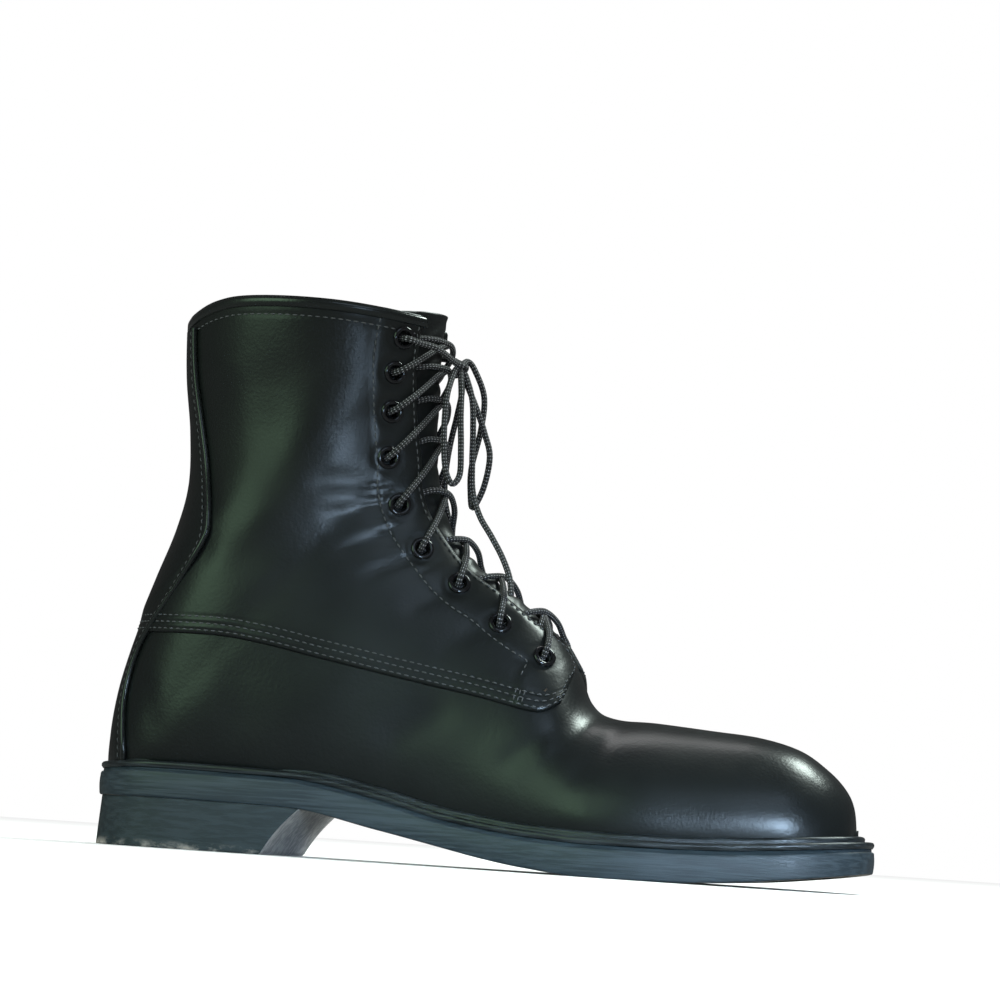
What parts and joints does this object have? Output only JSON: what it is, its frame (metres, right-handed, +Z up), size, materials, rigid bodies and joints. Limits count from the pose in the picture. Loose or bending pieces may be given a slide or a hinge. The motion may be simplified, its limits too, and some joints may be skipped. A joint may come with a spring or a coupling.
{
  "type": "combat boot",
  "caption": "Left black leather combat boot with a laced front, open collar, storm welt and a lugged rubber sole with a separate heel block.",
  "frame": {"origin": "middle of the heel's bottom face", "axes": "+X to the toe, +Y to the outer side of the left foot, +Z up; the boot stands on heel and forefoot"},
  "size_m": [0.3148, 0.1059, 0.2243],
  "materials": {
    "sole_rubber": "satin, brushed along its edge, dusty below",
    "heel_rubber": "matt, worn grey",
    "welt_rubber": "satin",
    "lining_leather": "matt",
    "black_leather": "polished",
    "tongue_leather": "soft satin",
    "eyelet_enamel": "gloss black enamel",
    "lace_braid": "round braid with light flecks"
  },
  "bodies": {
    "root": {"outsole": "sole_rubber", "heel": "heel_rubber", "welt": "welt_rubber", "insole": "lining_leather", "upper": "black_leather", "tongue": "tongue_leather", "collar_binding": "black_leather", "backstay": "black_leather", "eyelet_inner_1": "eyelet_enamel", "eyelet_inner_2": "eyelet_enamel", "eyelet_inner_3": "eyelet_enamel", "eyelet_inner_4": "eyelet_enamel", "eyelet_inner_5": "eyelet_enamel", "eyelet_inner_6": "eyelet_enamel", "eyelet_inner_7": "eyelet_enamel", "eyelet_inner_8": "eyelet_enamel", "eyelet_inner_9": "eyelet_enamel", "eyelet_outer_1": "eyelet_enamel", "eyelet_outer_2": "eyelet_enamel", "eyelet_outer_3": "eyelet_enamel", "eyelet_outer_4": "eyelet_enamel", "eyelet_outer_5": "eyelet_enamel", "eyelet_outer_6": "eyelet_enamel", "eyelet_outer_7": "eyelet_enamel", "eyelet_outer_8": "eyelet_enamel", "eyelet_outer_9": "eyelet_enamel", "lace_crossing_1": "lace_braid", "lace_crossing_2": "lace_braid", "lace_crossing_3": "lace_braid", "lace_crossing_4": "lace_braid", "lace_crossing_5": "lace_braid", "lace_crossing_6": "lace_braid", "lace_crossing_7": "lace_braid", "lace_crossing_8": "lace_braid", "lace_knot": "lace_braid", "lace_loop_inner": "lace_braid", "lace_loop_outer": "lace_braid", "lace_end_inner": "lace_braid", "lace_end_outer": "lace_braid"}
  },
  "joints": []
}
